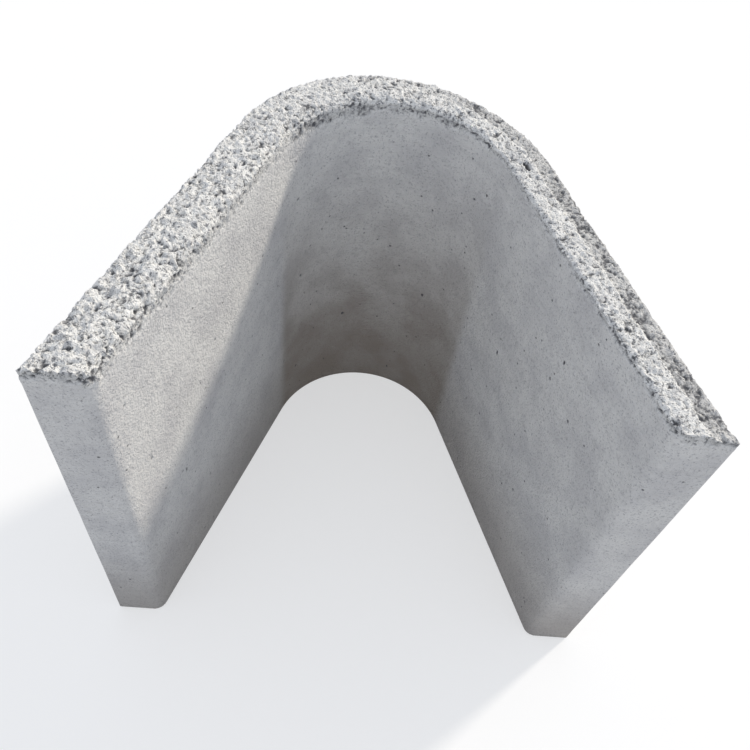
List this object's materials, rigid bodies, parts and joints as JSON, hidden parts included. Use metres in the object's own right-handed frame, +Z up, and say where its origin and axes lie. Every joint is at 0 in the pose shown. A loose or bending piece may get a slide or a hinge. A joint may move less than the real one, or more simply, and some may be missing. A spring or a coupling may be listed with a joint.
{
  "type": "precast concrete u-channel",
  "caption": "Open drainage channel with a round floor and flaring legs, one plain concrete casting standing on its smooth end.",
  "frame": {"origin": "centre of the channel's bounding box, on the floor it stands on", "axes": "+Z up along the channel's run, -Y out of the open side, +Y towards the round floor, X across the legs"},
  "size_m": [0.5726, 0.4499, 0.5],
  "materials": {
    "concrete": "dry cast concrete, smooth on the mould faces and coarse on the upper end"
  },
  "bodies": {
    "root": {"channel": "concrete"}
  },
  "joints": []
}
